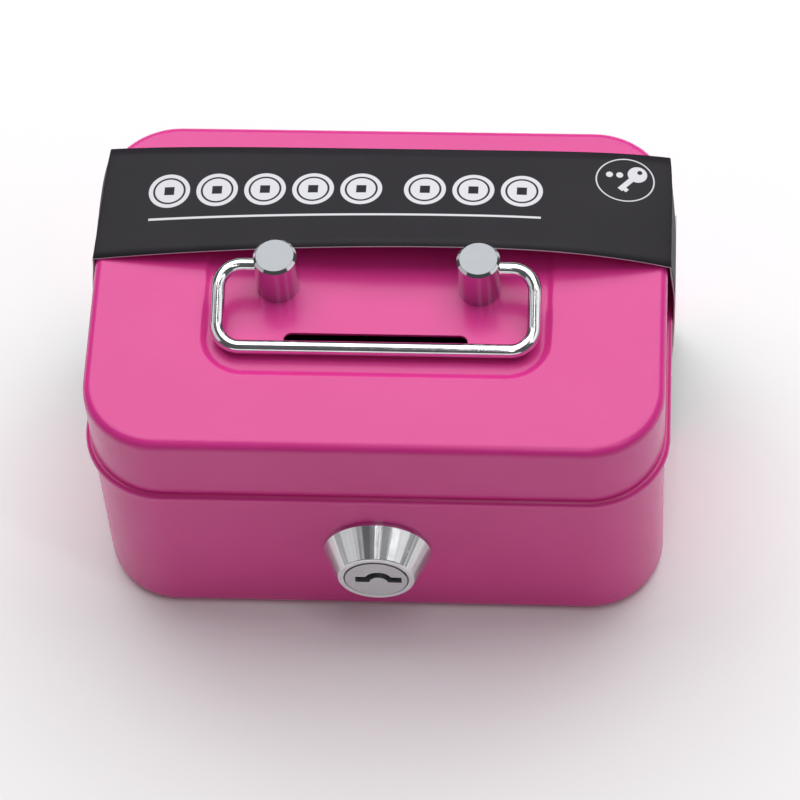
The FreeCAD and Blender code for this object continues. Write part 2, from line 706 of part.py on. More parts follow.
def lock_cam():
    """Hub, arm and a finger that follows the swing, so it slides through the keeper."""
    back = "cam_front+cam_thick"
    hub = forward_rod("hub_radius", "cam_thick", "0", back, "lock_z")
    arm = box(
        "arm_length", "cam_thick", "arm_width", "0", "cam_front", "lock_z-arm_width/2"
    )
    outer = forward_rod("cam_reach", "cam_thick", "0", back, "lock_z", "finger_sweep")
    inner = forward_rod(
        "cam_reach-finger_width", "cam_thick+2*over", "0", f"{back}+over", "lock_z"
    )
    hole, corner = "tail_square+2*tail_fit", "tail_square/2+tail_fit"
    square = box(
        hole, "cam_thick+2*over", hole, f"-({corner})", "cam_front-over", f"lock_z-({corner})"
    )
    node(cut(fuse(hub, arm, cut(outer, inner)), square), "lock_cam")


def cam_fasteners():
    back, thick = "cam_front+cam_thick+seat_gap", "cam_washer_thick"
    ring = forward_rod("cam_washer", thick, "0", f"{back}+{thick}", "lock_z")
    hole = forward_rod("cam_screw+washer_play", thick, "0", f"{back}+{thick}", "lock_z")
    node(cut(ring, hole), "cam_washer")
    seat = f"{back}+{thick}+seat_gap"
    shank = forward_rod("cam_screw", "cam_screw_length", "0", seat, "lock_z")
    head = primitive(
        "Cone", Radius1="cam_screw_crown", Radius2="cam_screw_head", Height="cam_screw_rise"
    )
    place(head, "0", f"{seat}+cam_screw_rise", "lock_z", X_AXIS, 90)
    node(fuse(shank, head), "cam_screw")


def lock_keeper():
    """Bracket on the lid's front wall with a window that the cam's finger enters."""
    body = new_body("lock_keeper")
    face = f"-({FRONT})+wall+leaf_gap"
    sketch = new_sketch(body, "YZ_Plane", "keeper_x-keeper_thick/2")
    polygon(sketch, [
        (face, "keeper_step"), ("keeper_leg", "keeper_step"),
        ("keeper_leg", "keeper_bottom"), ("keeper_back", "keeper_bottom"),
        ("keeper_back", "keeper_step+2"), ("keeper_leg", "keeper_top"), (face, "keeper_top"),
    ])
    pad(body, sketch, "keeper_thick")
    sketch = new_sketch(body, "YZ_Plane", "keeper_x-keeper_thick/2")
    rectangle(sketch, face, f"{face}+keeper_thick", "keeper_step", "keeper_top")
    pad(body, sketch, "keeper_flange")
    sketch = new_sketch(body, "YZ_Plane", "keeper_x+keeper_thick/2")
    rectangle(
        sketch, "cam_front-window_side", "cam_front+cam_thick+window_side",
        "window_bottom", "window_top",
    )
    pocket(body, sketch, "2*keeper_thick")


# ---- inside the box -----------------------------------------------------------------------

def tray_support(label, left):
    """Angle strip welded to a side wall; the tray's flange rests on it."""
    body = new_body(label)
    sketch = new_sketch(body, "XZ_Plane")
    wall, sign = f"({WALL_W})/2-wall-leaf_gap", "-" if left else ""
    outline = [
        (wall, "ledge_top"), (wall, "ledge_top-ledge_leg"),
        (f"{wall}-leaf_thick", "ledge_top-ledge_leg"),
        (f"{wall}-leaf_thick", "ledge_top-leaf_thick"),
        (f"{wall}-ledge_reach", "ledge_top-leaf_thick"), (f"{wall}-ledge_reach", "ledge_top"),
    ]
    polygon(sketch, [(f"{sign}({x})", z) for x, z in outline])
    pad(body, sketch, "ledge_length", midplane=True)


def coin_tray():
    body = new_body("coin_tray")
    sketch = new_sketch(body, "XY_Plane", "tray_bottom")
    rounded_box(sketch, "tray_width", "tray_depth", "tray_radius")
    pad(body, sketch, "tray_top-tray_bottom")
    sketch = new_sketch(body, "XY_Plane", "tray_top-tray_wall")
    rounded_box(sketch, "flange_width", "flange_depth", "flange_radius")
    pad(body, sketch, "tray_wall")
    side, back = "tray_width/2-tray_wall", "tray_depth/2-tray_wall"
    inner = "notch_half+tray_wall"
    wells = [
        (f"-({side})", f"-({inner})", f"-({back})", back, "tray_radius-tray_wall"),
        (inner, side, f"-({back})", back, "tray_radius-tray_wall"),
        ("-notch_half", "notch_half", "notch_back+tray_wall", "divider_y-tray_wall", "well_radius"),
        ("-notch_half", "notch_half", "divider_y", back, "well_radius"),
    ]
    for left, right, front, rear, radius in wells:
        sketch = new_sketch(body, "XY_Plane", "tray_top")
        corners = [(left, front), (right, front), (right, rear), (left, rear)]
        rounded_run(sketch, corners, radius)
        pocket(body, sketch, "tray_top-tray_bottom-tray_wall")
    dress(body, "Fillet", "well_scoop", level_at("tray_bottom+tray_wall"))
    sketch = new_sketch(body, "XY_Plane", "tray_top+over")
    rectangle(sketch, "-notch_half", "notch_half", "-flange_depth", "notch_back")
    pocket(body, sketch, "tray_top-tray_bottom+2*over")


def key(label, x, y, above, turn):
    """Small flat key with cuts along both sides of the blade."""
    body = new_body(label)
    sketch = new_sketch(body, "XY_Plane")
    circle(sketch, "0", "0", "bow_radius")
    pad(body, sketch, "key_thick")
    sketch = new_sketch(body, "XY_Plane", "blade_lift")
    tip = "bow_radius+blade_length"
    rectangle(sketch, "blade_root", tip, "-blade_half", "blade_half")
    pad(body, sketch, "blade_thick")
    end = number(tip)
    dress(body, "Chamfer", "blade_tip",
          lambda edge: edge.XMin > end - NEAR and edge.ZLength > 1 and edge.YLength < NEAR)
    sketch = new_sketch(body, "XY_Plane", "key_thick+over")
    circle(sketch, "key_hole_x", "0", "key_hole")
    pocket(body, sketch, "key_thick+2*over")
    for i, depth in enumerate(("first_cut", "second_cut", "third_cut", "fourth_cut")):
        start = f"cut_first+{i}*cut_pitch"
        sketch = new_sketch(body, "XY_Plane", "key_thick+over")
        for sign in ("", "-"):
            edge, deep = f"{sign}cut_edge", f"{sign}(blade_half-{depth})"
            polygon(sketch, [
                (start, edge), (f"{start}+cut_slope", deep),
                (f"{start}+cut_slope+cut_floor", deep), (f"{start}+2*cut_slope+cut_floor", edge),
            ])
        pocket(body, sketch, "key_thick+2*over")
    body.Placement = FreeCAD.Placement(
        FreeCAD.Vector(), FreeCAD.Rotation(FreeCAD.Vector(0, 0, 1), number(turn))
    )
    bind(
        body, Placement__Base__x=x, Placement__Base__y=y,
        Placement__Base__z=f"tray_bottom+tray_wall+leaf_gap+{above}",
    )


# ---- card sleeve --------------------------------------------------------------------------

def sleeve_profile(y, rise, grow):
    """Closed outline of the card across the box at one depth; grow is the card's face."""
    half, top, split = number("sleeve_half"), number("lid_top"), number("sleeve_split")
    peak, power, gap = number("arch_peak"), number("arch_power"), number("arch_gap")
    fold, drop = half - number("fold_inset"), number("fold_drop")
    steps = 12

    def curve(out):
        points = [FreeCAD.Vector(-half - out, y, split), FreeCAD.Vector(-half - out, y, top - drop)]
        for i in range(steps + 1):
            x = fold * (2 * i / steps - 1)
            side = (x - peak) / (fold - peak if x > peak else fold + peak)
            height = top + gap + out + rise * (1 - abs(side) ** power)
            points.append(FreeCAD.Vector(x, y, height))
        points.append(FreeCAD.Vector(half + out, y, top - drop))
        points.append(FreeCAD.Vector(half + out, y, split))
        return points

    inner, outer = curve(0.0), curve(grow)
    return Part.makePolygon(inner + outer[::-1] + inner[:1])


def card_sleeve_upper():
    """Part of the sleeve on the lid: bowed up at its front edge, nearly flat behind."""
    card = number("card")
    sections = [
        sleeve_profile(number("sleeve_front"), number("arch_front"), card),
        sleeve_profile(number("sleeve_back"), number("arch_back"), card),
    ]
    item = doc.addObject("Part::Feature", "card_sleeve_upper")
    item.Shape = Part.makeLoft(sections, True, True)
    node(item, "card_sleeve_upper")


def card_sleeve_lower():
    """Part of the sleeve on the base: two sides and the strip under the box."""
    body = new_body("card_sleeve_lower")
    half, top = "sleeve_half", "sleeve_split-sleeve_gap"
    sketch = new_sketch(body, "XZ_Plane", "-(sleeve_front+sleeve_back)/2")
    polygon(sketch, [
        (f"-{half}-card", top), (f"-{half}-card", "base_fold"), (f"-{half}+under_fold", "0"),
        (f"{half}-under_fold", "0"), (f"{half}+card", "base_fold"), (f"{half}+card", top),
        (half, top), (half, "base_fold+card/2"), (f"{half}-under_fold-card/2", "card"),
        (f"-{half}+under_fold+card/2", "card"), (f"-{half}", "base_fold+card/2"),
        (f"-{half}", top),
    ])
    pad(body, sketch, "sleeve_back-sleeve_front", midplane=True)


# ---- build, check and write ---------------------------------------------------------------

base_shell()
lid_shell()
handle_post("handle_post_left", "-")
handle_post("handle_post_right", "")
post_fasteners()
handle_bail()
hinges()
rivets("base_hinge_rivets", "base_rivet_z")
rivets("lid_hinge_rivets", "lid_rivet_z")
lid_stop()
lock_housing()
lock_nut()
lock_plug()
wafers()
wafer_springs()
lock_cam()
cam_fasteners()
lock_keeper()
tray_support("tray_support_left", True)
tray_support("tray_support_right", False)
coin_tray()
key("key_1", "-key_x", "lower_key_y", "0", "0")
key("key_2", "key_x", "upper_key_y", "key_thick+leaf_gap", "key_turn")
card_sleeve_upper()
card_sleeve_lower()
doc.recompute()

for item in doc.Objects:
    if {"Invalid", "Error"} & set(item.State):
        raise RuntimeError(f"{item.Label} did not build: {item.State}")
for item in NODES:
    if item.Shape.isNull() or not item.Shape.isValid():
        raise RuntimeError(f"{item.Label} has no valid shape")

os.makedirs("parts", exist_ok=True)
for item in NODES:
    item.Shape.exportStep(f"parts/{item.Label}.step")
    print(item.Label, len(item.Shape.Solids), round(item.Shape.Volume, 1))
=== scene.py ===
"""Looks of a small pink steel cash box with a wire handle, a cam lock and a card sleeve.

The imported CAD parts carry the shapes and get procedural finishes. The card sleeve is
folded here from flat sheets, because real card is thin and bows.
"""
import json
import math

import bmesh
import bpy
from mathutils import Matrix, Vector


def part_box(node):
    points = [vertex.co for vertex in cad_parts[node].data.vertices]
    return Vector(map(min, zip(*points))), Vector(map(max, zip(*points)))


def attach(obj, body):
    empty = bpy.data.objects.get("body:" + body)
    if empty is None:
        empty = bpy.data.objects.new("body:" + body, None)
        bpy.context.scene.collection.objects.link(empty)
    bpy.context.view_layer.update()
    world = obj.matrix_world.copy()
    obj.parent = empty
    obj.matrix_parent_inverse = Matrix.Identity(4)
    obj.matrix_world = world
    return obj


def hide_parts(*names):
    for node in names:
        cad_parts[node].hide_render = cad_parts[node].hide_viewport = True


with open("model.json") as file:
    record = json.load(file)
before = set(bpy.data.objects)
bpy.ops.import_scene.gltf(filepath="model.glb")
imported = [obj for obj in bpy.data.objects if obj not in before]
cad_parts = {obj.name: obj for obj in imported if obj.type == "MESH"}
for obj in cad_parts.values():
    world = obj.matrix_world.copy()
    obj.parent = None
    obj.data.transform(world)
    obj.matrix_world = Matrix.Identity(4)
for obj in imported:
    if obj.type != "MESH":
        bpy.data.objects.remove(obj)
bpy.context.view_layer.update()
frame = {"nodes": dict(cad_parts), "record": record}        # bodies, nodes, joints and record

MM = 0.001
nodes = frame["nodes"]


# ---- shader maths -------------------------------------------------------------------------

class Link:
    """A shader value; arithmetic on it adds Math nodes to its finish."""

    def __init__(self, finish, socket):
        self.finish = finish
        self.socket = socket

    def math(self, operation, *values):
        settings = {"operation": operation}
        return self.finish.node("ShaderNodeMath", settings, dict(enumerate(values)))

    def __add__(self, other):
        return self.math("ADD", self, other)

    def __sub__(self, other):
        return self.math("SUBTRACT", self, other)

    def __rsub__(self, other):
        return self.math("SUBTRACT", other, self)

    def __mul__(self, other):
        return self.math("MULTIPLY", self, other)

    def __truediv__(self, other):
        return self.math("DIVIDE", self, other)

    def __rtruediv__(self, other):
        return self.math("DIVIDE", other, self)

    def __pow__(self, other):
        return self.math("POWER", self, other)

    def __abs__(self):
        return self.math("ABSOLUTE", self)

    __radd__ = __add__
    __rmul__ = __mul__

    def sine(self):
        return self.math("SINE", self)

    def low(self, other):
        return self.math("MINIMUM", self, other)

    def high(self, other):
        return self.math("MAXIMUM", self, other)

    def clamped(self):
        return self.low(1.0).high(0.0)

    def inside(self, soft=0.00006):
        """1 where the value is below zero, 0 above, with a narrow soft edge."""
        return (0.5 - self / (2 * soft)).clamped()


class Finish:
    """A procedural material; constants go straight on the shader's own sockets."""

    def __init__(self, name, **constants):
        self.material = bpy.data.materials.new(name)
        self.material.use_nodes = True
        self.tree = self.material.node_tree
        self.shader = self.tree.nodes["Principled BSDF"]
        self.give(self.shader, {key.replace("_", " "): value for key, value in constants.items()})
        place = self.node("ShaderNodeTexCoord", output="Object")
        self.place = place
        split = self.node("ShaderNodeSeparateXYZ", inputs={0: place})
        outputs = split.socket.node.outputs
        self.x, self.y, self.z = (Link(self, outputs[axis]) for axis in range(3))

    def give(self, node, inputs):
        for key, value in inputs.items():
            socket = node.inputs[key]
            if isinstance(value, Link):
                self.tree.links.new(value.socket, socket)
            elif socket.type == "RGBA":
                socket.default_value = (*value, 1.0)
            else:
                socket.default_value = value

    def node(self, kind, settings=None, inputs=None, output=0):
        node = self.tree.nodes.new(kind)
        for key, value in (settings or {}).items():
            setattr(node, key, value)
        self.give(node, inputs or {})
        return Link(self, node.outputs[output])

    def point(self, x=0.0, y=0.0, z=0.0):
        return self.node("ShaderNodeCombineXYZ", inputs={0: x, 1: y, 2: z})

    def noise(self, size, detail=2.0, at=None):
        """Smooth noise from 0 to 1 whose blotches are about size metres across."""
        inputs = {"Vector": at or self.place, "Scale": 1.0 / size, "Detail": detail}
        return self.node("ShaderNodeTexNoise", {"noise_dimensions": "3D"}, inputs)

    def specks(self, size, at=None):
        """Distance from the nearest of a scatter of points about size metres apart, in sizes."""
        inputs = {"Vector": at or self.place, "Scale": 1.0 / size}
        return self.node("ShaderNodeTexVoronoi", {"feature": "F1"}, inputs)

    def mix(self, factor, first, second):
        settings = {"data_type": "RGBA"}
        return self.node("ShaderNodeMix", settings, {0: factor, 6: first, 7: second}, output=2)

    def far_from(self, place):
        inputs = {0: self.place, 1: place}
        return self.node("ShaderNodeVectorMath", {"operation": "DISTANCE"}, inputs, output="Value")

    def relief(self, height):
        """Bump from a height in metres."""
        inputs = {"Height": height, "Distance": 1.0, "Strength": 1.0}
        self.set(Normal=self.node("ShaderNodeBump", inputs=inputs))

    def set(self, **inputs):
        self.give(self.shader, {key.replace("_", " "): value for key, value in inputs.items()})


def hypot(a, b):
    return (a * a + b * b) ** 0.5


# ---- finishes -----------------------------------------------------------------------------

DEEP_PINK = (0.76, 0.036, 0.285)
CLEAR_PINK = (0.82, 0.050, 0.33)


def pink_paint(name, dents=()):
    """Glossy powder coat: orange peel, a slight swell, and the marks of spot welds."""
    finish = Finish(name, Specular_IOR_Level=0.45)
    peel = finish.noise(1.8 * MM, detail=1.0) * 3.5e-6
    swell = finish.noise(16 * MM, detail=1.0) * 5e-5
    height = peel + swell
    for place, radius, depth in dents:
        near = (1.0 - finish.far_from(place) / radius).clamped()
        height = height - near * near * depth
    finish.relief(height)
    drift = finish.noise(22 * MM, detail=3.0)
    finish.set(
        Base_Color=finish.mix(drift, DEEP_PINK, CLEAR_PINK),
        Roughness=0.2 + finish.noise(6 * MM, detail=1.0) * 0.08,
    )
    return finish.material


def zinc_plate():
    """Bright plating with cloudy patches and fine rolling lines."""
    finish = Finish("zinc_plate", Metallic=1.0)
    cloud = finish.noise(2.5 * MM, detail=5.0)
    lines = finish.noise(0.3 * MM, at=finish.point(finish.x, finish.y * 0.06, finish.z))
    finish.relief(lines * 4e-6)
    finish.set(
        Base_Color=finish.mix(cloud, (0.44, 0.46, 0.50), (0.68, 0.69, 0.70)),
        Roughness=0.24 + cloud * 0.22,
    )
    return finish.material


POST_X = 0.5 * (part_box("handle_post_right")[0].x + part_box("handle_post_right")[1].x)
POST_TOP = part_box("handle_post_right")[1].z


def post_chrome():
    """Chromed turned post: mirror sides, satin top with lathe rings, and a darker metal colour on
    the top that is painted shade dimming its reflection of the overhead light.
    """
    finish = Finish("post_chrome", Metallic=1.0)
    across = abs(finish.x) - POST_X
    from_axis = hypot(across, finish.y)
    top = (POST_TOP - 0.05 * MM - finish.z).inside(0.02 * MM)
    rings = (from_axis * (2 * math.pi / (0.45 * MM))).sine()
    finish.relief(top * rings * 1.5e-6 + finish.noise(0.8 * MM) * 1e-6)
    smear = finish.noise(2.2 * MM, detail=4.0)
    finish.set(
        # The top's metal colour is darker than the sides': painted shade that dims the overhead
        # light's reflection on the top face.
        Base_Color=finish.mix(top, (0.55, 0.54, 0.56), (0.25, 0.26, 0.275)),
        Roughness=0.07 + smear * 0.07 + top * 0.27,
    )
    return finish.material


def wire_chrome():
    """Bright chromed wire with faint drawing lines and finger smears."""
    finish = Finish("wire_chrome", Metallic=1.0)
    smear = finish.noise(3 * MM, detail=4.0)
    finish.relief(finish.noise(1.1 * MM) * 4e-6)
    finish.set(
        Base_Color=finish.mix(smear, (0.72, 0.72, 0.74), (0.86, 0.86, 0.87)),
        Roughness=0.06 + smear * 0.1,
    )
    return finish.material


LOCK_Z = 0.5 * (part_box("lock_housing")[0].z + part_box("lock_housing")[1].z)


def lock_nickel():
    """Polished nickel die casting; the polishing leaves flats that run down the cone, and light and
    dark streaks painted into its colour around the cone stand in for streaked reflections.
    """
    finish = Finish("lock_nickel", Metallic=1.0)
    rise = finish.z - LOCK_Z
    turn = finish.x.math("ARCTAN2", finish.x, rise)
    flats = finish.noise(1.0, detail=2.0, at=finish.point(turn * 2.6, 0.0, 0.0))
    fine = finish.noise(1.0, detail=2.0, at=finish.point(turn * 24.0, 0.0, 0.0))
    finish.relief(flats * 3.6e-4 + fine * 1.2e-5 + finish.noise(0.9 * MM) * 2e-6)
    finish.set(
        # The fine ripple around the cone also streaks the metal colour light and dark: painted
        # reflection streaks, while its bump stays real relief.
        Base_Color=finish.mix(fine, (0.62, 0.63, 0.65), (0.84, 0.84, 0.85)),
        Roughness=0.2 + finish.noise(1.6 * MM, detail=4.0) * 0.1,
    )
    return finish.material


def plug_nickel():
    """Satin nickel face with fine upright brushing."""
    finish = Finish("plug_nickel", Metallic=1.0)
    brushing = finish.point(finish.x, finish.y, finish.z * 0.05)
    scratch = finish.noise(0.18 * MM, detail=3.0, at=brushing)
    finish.relief(scratch * 5e-6)
    finish.set(
        Base_Color=finish.mix(scratch, (0.50, 0.51, 0.53), (0.62, 0.63, 0.64)),
        Roughness=0.30 + scratch * 0.14,
    )
    return finish.material


def cut_brass():
    finish = Finish("cut_brass", Metallic=1.0)
    tarnish = finish.noise(1.8 * MM, detail=5.0)
    finish.relief(finish.noise(0.2 * MM) * 3e-6)
    finish.set(
        Base_Color=finish.mix(tarnish, (0.50, 0.31, 0.10), (0.80, 0.57, 0.25)),
        Roughness=0.25 + tarnish * 0.2,
    )
    return finish.material


def spring_wire():
    finish = Finish("spring_wire", Metallic=1.0)
    grey = finish.noise(0.3 * MM)
    finish.set(
        Base_Color=finish.mix(grey, (0.40, 0.41, 0.43), (0.60, 0.61, 0.63)),
        Roughness=0.22 + grey * 0.15,
    )
    return finish.material


def tray_plastic():
    """Moulded black plastic with a fine spark grain, rubbed smoother in patches."""
    finish = Finish("tray_plastic", Specular_IOR_Level=0.4)
    grain = finish.specks(0.5 * MM)
    rub = finish.noise(16 * MM, detail=4.0)
    finish.relief(grain * 1.8e-5 + finish.noise(30 * MM) * 8e-5)
    finish.set(
        Base_Color=finish.mix(rub, (0.012, 0.012, 0.014), (0.026, 0.026, 0.029)),
        Roughness=0.42 + rub * 0.2,
    )
    return finish.material


def key_nickel():
    """Nickel-plated keys, brushed along the blade and scuffed on the bow."""
    finish = Finish("key_nickel", Metallic=1.0)
    grain = finish.noise(0.25 * MM, detail=3.0, at=finish.point(finish.x * 0.08, finish.y, finish.z))
    scuff = finish.noise(3 * MM, detail=5.0)
    finish.relief(grain * 6e-6)
    finish.set(
        Base_Color=finish.mix(scuff, (0.56, 0.55, 0.52), (0.76, 0.75, 0.72)),
        Roughness=0.2 + grain * 0.15 + scuff * 0.1,
    )
    return finish.material


# ---- print on the card --------------------------------------------------------------------

SLEEVE_FRONT, SLEEVE_BACK = 5.4 * MM, 34.2 * MM
COIN_Y, COIN_R, COIN_PITCH = 22.2 * MM, 4.5 * MM, 10.4 * MM
COIN_ROWS = ((-51.5 * MM, 5), (3.8 * MM, 3))
RULE_Y, RULE_HALF = 14.7 * MM, 0.29 * MM
RULE_LEFT, RULE_RIGHT = -50.3 * MM, 34.1 * MM
BADGE_X, BADGE_Y, BADGE_R = 51.8 * MM, 26.9 * MM, 6.2 * MM
KEY_HEAD = (54.4 * MM, 28.6 * MM)
KEY_TIP = (50.7 * MM, 24.2 * MM)
DOTS_X, DOTS_Y, DOT_R = (48.4 * MM, 50.6 * MM), 28.2 * MM, 0.75 * MM
PRINT_FLOOR = 64.8 * MM


def coin_mask(finish):
    """Two rows of round coins, each with an inner ring and a square centre."""
    mask = 0.0
    for start, count in COIN_ROWS:
        along = finish.x - start
        within = (along * -1.0).high(along - count * COIN_PITCH).inside()
        local = along.math("WRAP", along, COIN_PITCH, 0.0) - COIN_PITCH / 2
        rise = finish.y - COIN_Y
        out = hypot(local, rise)
        disc = (out - COIN_R).inside()
        ring = (abs(out - 0.74 * COIN_R) - 0.05 * COIN_R).inside()
        centre = (abs(local).high(abs(rise)) - 0.24 * COIN_R).inside()
        mask = disc * (1.0 - ring) * (1.0 - centre) * within + mask
    return mask


def key_mask(finish):
    """Outlined badge with a plain key lying across it and two count dots."""
    out = hypot(finish.x - BADGE_X, (finish.y - BADGE_Y) * 1.08)
    mask = (abs(out - BADGE_R) - 0.15 * MM).inside()
    head = hypot(finish.x - KEY_HEAD[0], finish.y - KEY_HEAD[1])
    hole = hypot(finish.x - KEY_HEAD[0] - 0.5 * MM, finish.y - KEY_HEAD[1] - 0.6 * MM)
    bow = (head - 2.1 * MM).inside() * (1.0 - (hole - 0.55 * MM).inside())
    run, climb = KEY_TIP[0] - KEY_HEAD[0], KEY_TIP[1] - KEY_HEAD[1]
    length = math.hypot(run, climb)
    cos, sin = run / length, climb / length
    along = (finish.x - KEY_HEAD[0]) * cos + (finish.y - KEY_HEAD[1]) * sin
    aside = (finish.y - KEY_HEAD[1]) * cos - (finish.x - KEY_HEAD[0]) * sin
    reach = (along * -1.0).high(along - length).inside()
    blade = (abs(aside) - 0.62 * MM).inside() * reach
    bit = (abs(along - 0.85 * length) - 0.5 * MM).inside()
    tooth = bit * (abs(aside - 0.8 * MM) - 0.6 * MM).inside()
    mask = mask.high(bow).high(blade).high(tooth)
    for x in DOTS_X:
        dot = hypot(finish.x - x, finish.y - DOTS_Y)
        mask = mask.high((dot - DOT_R).inside())
    return mask


def printed_card():
    """Charcoal print on white card, with pictures on the top panel only."""
    finish = Finish("printed_card", Specular_IOR_Level=0.22)
    rule = (abs(finish.y - RULE_Y) - RULE_HALF).inside()
    span = (RULE_LEFT - finish.x).high(finish.x - RULE_RIGHT).inside()
    lifted = (PRINT_FLOOR - finish.z).inside()
    picture = (rule * span).high(coin_mask(finish)).high(key_mask(finish)) * lifted
    fibre = finish.noise(0.35 * MM, detail=4.0)
    cloud = finish.noise(9 * MM, detail=3.0)
    ink = finish.mix(cloud, (0.016, 0.014, 0.018), (0.024, 0.021, 0.027))
    finish.relief(fibre * 9e-6 + finish.noise(24 * MM, detail=1.0) * 1.5e-4)
    finish.set(
        Base_Color=finish.mix(picture, ink, (0.80, 0.80, 0.84)),
        Roughness=0.5 + fibre * 0.12,
    )
    return finish.material


def raw_card(name, pale, dark):
    """Unprinted board: soft fibres and small flecks."""
    finish = Finish(name, Specular_IOR_Level=0.25)
    fibre = finish.noise(0.25 * MM, detail=5.0)
    finish.relief(fibre * 1.2e-5)
    finish.set(Base_Color=finish.mix(fibre, dark, pale), Roughness=0.75 + fibre * 0.15)
    return finish.material


# Place, radius and depth of each spot weld's mark on the lid's front wall.
WELDS = (
    ((30.3 * MM, -41.3 * MM, 57.2 * MM), 4.0 * MM, 3.2e-4),
    ((-26.9 * MM, -41.3 * MM, 58.3 * MM), 3.4 * MM, 2.0e-4),
)
finishes = {
    "pink_coated_steel": pink_paint("pink_powder_coat"),
    "zinc_plated_steel": zinc_plate(),
    "satin_chrome_post": post_chrome(),
    "chrome_wire": wire_chrome(),
    "nickel_lock_face": lock_nickel(),
    "brass_wafers": cut_brass(),
    "spring_steel": spring_wire(),
    "black_tray_plastic": tray_plastic(),
    "nickel_keys": key_nickel(),
    "black_printed_card": printed_card(),
}
own_finish = {
    "lid_shell": pink_paint("pink_powder_coat_lid", WELDS),
    "lock_plug": plug_nickel(),
}
for part in frame["record"]["subparts"]:
    name = part["node"]
    paint = own_finish.get(name, finishes[part["material_slot"]])
    for material_slot in nodes[name].material_slots:
        material_slot.material = paint


# ---- card sleeve --------------------------------------------------------------------------

# Lengths below are in mm: the slit level with the lid's rim, the card's half width beside the
# lid and the rim, and the top panel's crown, which is bowed at the front and flat at the back.
CARD = 0.3 * MM
SLIT_TOP, SLIT_BOTTOM = 44.9, 44.4
LID_SIDE, RIM_SIDE = 61.7, 63.0
CROWN_X, BOWED_CROWN, FLAT_CROWN = 12.0, 73.15, 68.15
# Fall from the crown to a fold, and the power it grows with, at the front and at the back.
LEFT_FALL = (6.7, 1.9), (1.6, 5)
RIGHT_FALL = (6.5, 2.6), (1.9, 5)
# Height and half width of the lower sides, from the slit down to the bend under the box.
SIDE_RUN = (
    (SLIT_BOTTOM, RIM_SIDE), (36.0, 62.8), (28.0, 62.4), (20.0, 62.0), (12.0, 61.8), (3.15, 61.75),
)
UNDER_FOLD = 3.1
card_faces = [
    finishes["black_printed_card"],
    raw_card("card_edge", (0.80, 0.74, 0.78), (0.60, 0.50, 0.56)),
    raw_card("card_back", (0.66, 0.65, 0.63), (0.50, 0.49, 0.47)),
]


def smooth(value):
    value = min(max(value, 0.0), 1.0)
    return value * value * (3 - 2 * value)


def fold_x(right, depth):
    """Where the top panel folds down; both folds draw in a little at the back."""
    return 62.0 - 0.5 * depth ** 6 if right else -61.75 + 1.45 * depth


def card_top(x, depth):
    """Height of the top panel; depth runs from 0 at the front edge to 1 at the back."""
    right = x > CROWN_X
    side = abs((x - CROWN_X) / (fold_x(right, depth) - CROWN_X))
    (front_fall, front_power), (back_fall, back_power) = RIGHT_FALL if right else LEFT_FALL
    bowed = BOWED_CROWN - front_fall * side ** front_power
    flat = FLAT_CROWN - back_fall * side ** back_power
    return bowed + (flat - bowed) * depth


def side_x(drop, right, depth):
    """Sideways place of a side panel at a share of the way down from the fold."""
    fold, free = abs(fold_x(right, depth)), 1 - depth ** 6
    start = fold + max(LID_SIDE - fold, 0.0) * free * smooth(8 * drop)
    spread = start + (RIM_SIDE - start) * free * smooth(1.3 * drop)
    bulge = 0.2 * (1 - depth) * math.sin(math.pi * min(1.25 * drop, 1.0))
    return (spread + bulge) * (1 if right else -1)


def upper_point(across, depth):
    """Place on the upper sleeve; across is below 0 on the left panel and above 1 on the right."""
    y = SLEEVE_FRONT + (SLEEVE_BACK - SLEEVE_FRONT) * depth
    left_fold, right_fold = fold_x(False, depth), fold_x(True, depth)
    if 0 <= across <= 1:
        x = left_fold + (right_fold - left_fold) * across
        return Vector((x * MM, y, card_top(x, depth) * MM))
    right = across > 1
    drop = across - 1 if right else -across
    fold = card_top(right_fold if right else left_fold, depth)
    height = fold + (SLIT_TOP - fold) * drop
    return Vector((side_x(drop, right, depth) * MM, y, height * MM))


def finish_sheet(mesh, name, node, body):
    """Thicken a folded sheet inwards, show its raw edges, and let it stand for its CAD node."""
    data = bpy.data.meshes.new(name)
    mesh.to_mesh(data)
    mesh.free()
    piece = bpy.data.objects.new(name, data)
    bpy.context.scene.collection.objects.link(piece)
    for material in card_faces:
        data.materials.append(material)
    for face in data.polygons:
        face.use_smooth = True
    wall = piece.modifiers.new("card", "SOLIDIFY")
    wall.thickness = CARD
    wall.offset = -1.0
    wall.material_offset_rim = 1
    wall.material_offset = 2
    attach(piece, body)
    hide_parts(node)
    return piece


def upper_sleeve():
    side_steps, top_steps, depth_steps = 10, 60, 12
    total = 2 * side_steps + top_steps
    mesh = bmesh.new()
    bmesh.ops.create_grid(mesh, x_segments=total, y_segments=depth_steps, size=0.5)
    folds = set()
    for vert in mesh.verts:
        column = round((vert.co.x + 0.5) * total) - side_steps
        if column < 0:
            across = column / side_steps
        elif column > top_steps:
            across = 1 + (column - top_steps) / side_steps
        else:
            across = column / top_steps
        if column in (0, top_steps):
            folds.add(vert)
        vert.co = upper_point(across, vert.co.y + 0.5)
    mesh.normal_update()
    edges = [edge for edge in mesh.edges if all(vert in folds for vert in edge.verts)]
    bmesh.ops.bevel(
        mesh, geom=edges, offset=0.35 * MM, affect="EDGES", segments=4, profile=0.5, material=-1
    )
    finish_sheet(mesh, "card_sleeve_top", "card_sleeve_upper", "lid")


